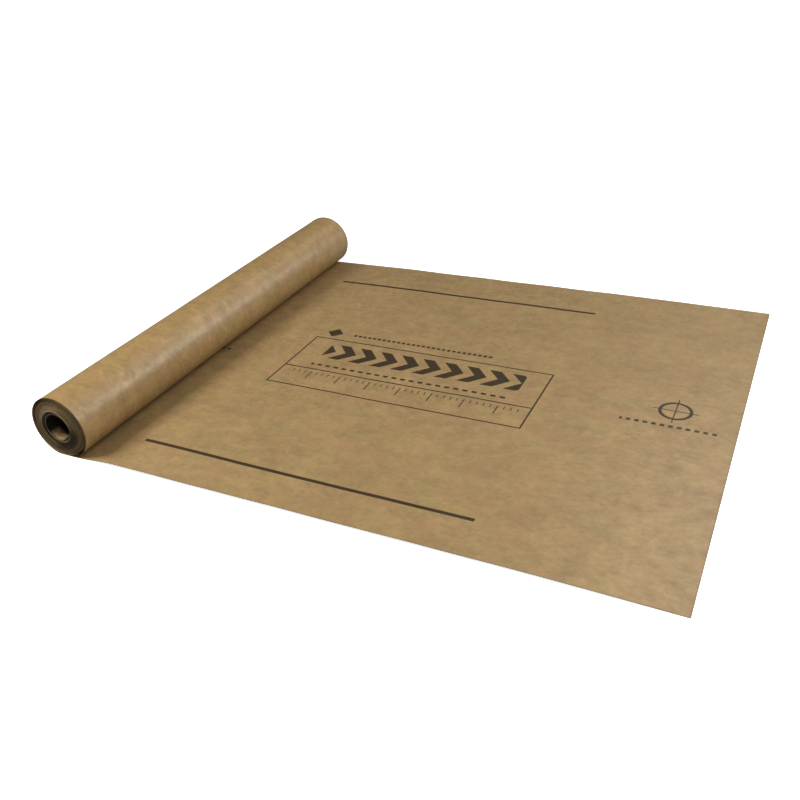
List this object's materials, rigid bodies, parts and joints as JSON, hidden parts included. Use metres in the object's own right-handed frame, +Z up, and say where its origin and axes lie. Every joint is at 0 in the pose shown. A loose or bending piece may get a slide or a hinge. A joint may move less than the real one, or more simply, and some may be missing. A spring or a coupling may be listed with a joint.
{
  "type": "roll of vapor barrier paper",
  "caption": "Roll of flat brown building paper on a cardboard core, lying on its side with a length of the web laid out flat on the floor.",
  "frame": {"origin": "middle of the whole part's footprint, on the floor", "axes": "+X along the laid sheet away from the roll, +Y along the roll's axis, +Z up"},
  "size_m": [1.091, 0.9144, 0.1127],
  "materials": {
    "paper_web": "matte brown kraft with a faint sheen",
    "core_tube": "matte grey-brown chipboard"
  },
  "bodies": {
    "root": {"paper_web": "paper_web", "core_tube": "core_tube"}
  },
  "joints": []
}
